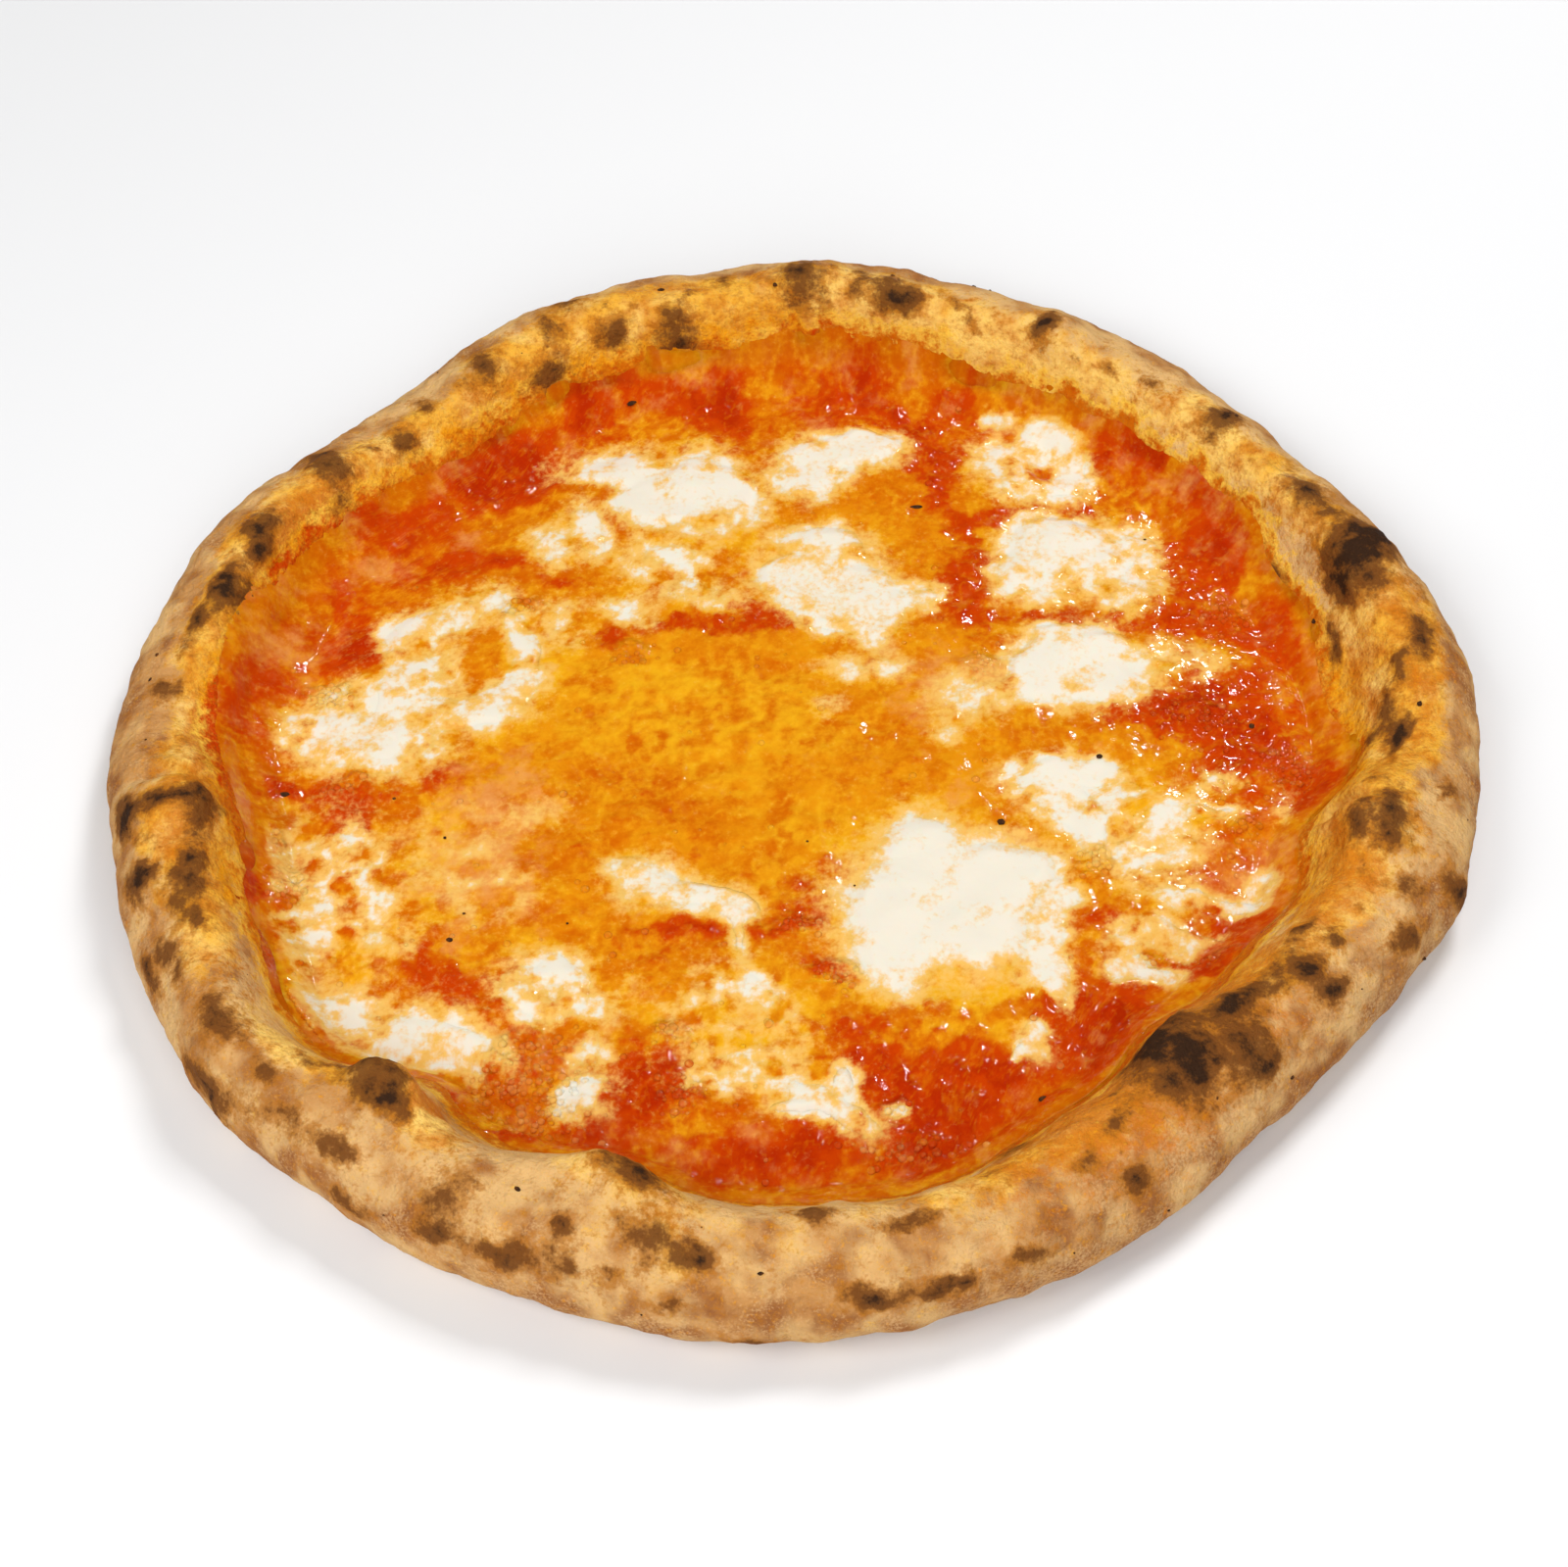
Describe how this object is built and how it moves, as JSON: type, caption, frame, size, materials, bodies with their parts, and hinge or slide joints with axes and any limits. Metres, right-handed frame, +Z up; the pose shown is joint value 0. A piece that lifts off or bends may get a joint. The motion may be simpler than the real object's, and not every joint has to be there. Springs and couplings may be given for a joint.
{
  "type": "margherita pizza",
  "caption": "Whole round baked pizza with a puffed, browned rim, a well of tomato sauce and melted white mozzarella on it; rests flat.",
  "frame": {"origin": "centre of the outline on the flat underside", "axes": "+Z up out of the topping; +X and +Y lie in the base, and the pizza is seen from -Y in its usual view"},
  "size_m": [0.315, 0.3134, 0.0255],
  "materials": {
    "dough": "matte baked crust",
    "sauce": "wet, oily",
    "mozzarella": "soft, moist"
  },
  "bodies": {
    "root": {"dough": "dough", "mozzarella_back_left_large": "mozzarella", "mozzarella_back_left_small": "mozzarella", "mozzarella_back_middle": "mozzarella", "mozzarella_back_right_ring": "mozzarella", "mozzarella_front_left_long": "mozzarella", "mozzarella_front_left_small": "mozzarella", "mozzarella_front_middle": "mozzarella", "mozzarella_front_middle_pale": "mozzarella", "mozzarella_front_right_arm": "mozzarella", "mozzarella_front_right_edge": "mozzarella", "mozzarella_front_right_large": "mozzarella", "mozzarella_left_front": "mozzarella", "mozzarella_left_large": "mozzarella", "mozzarella_middle_back": "mozzarella", "mozzarella_middle_left_pale": "mozzarella", "mozzarella_middle_streak": "mozzarella", "mozzarella_right_back": "mozzarella", "mozzarella_right_front_lacy": "mozzarella", "mozzarella_right_lacy": "mozzarella", "mozzarella_right_upper": "mozzarella", "sauce": "sauce"}
  },
  "joints": []
}
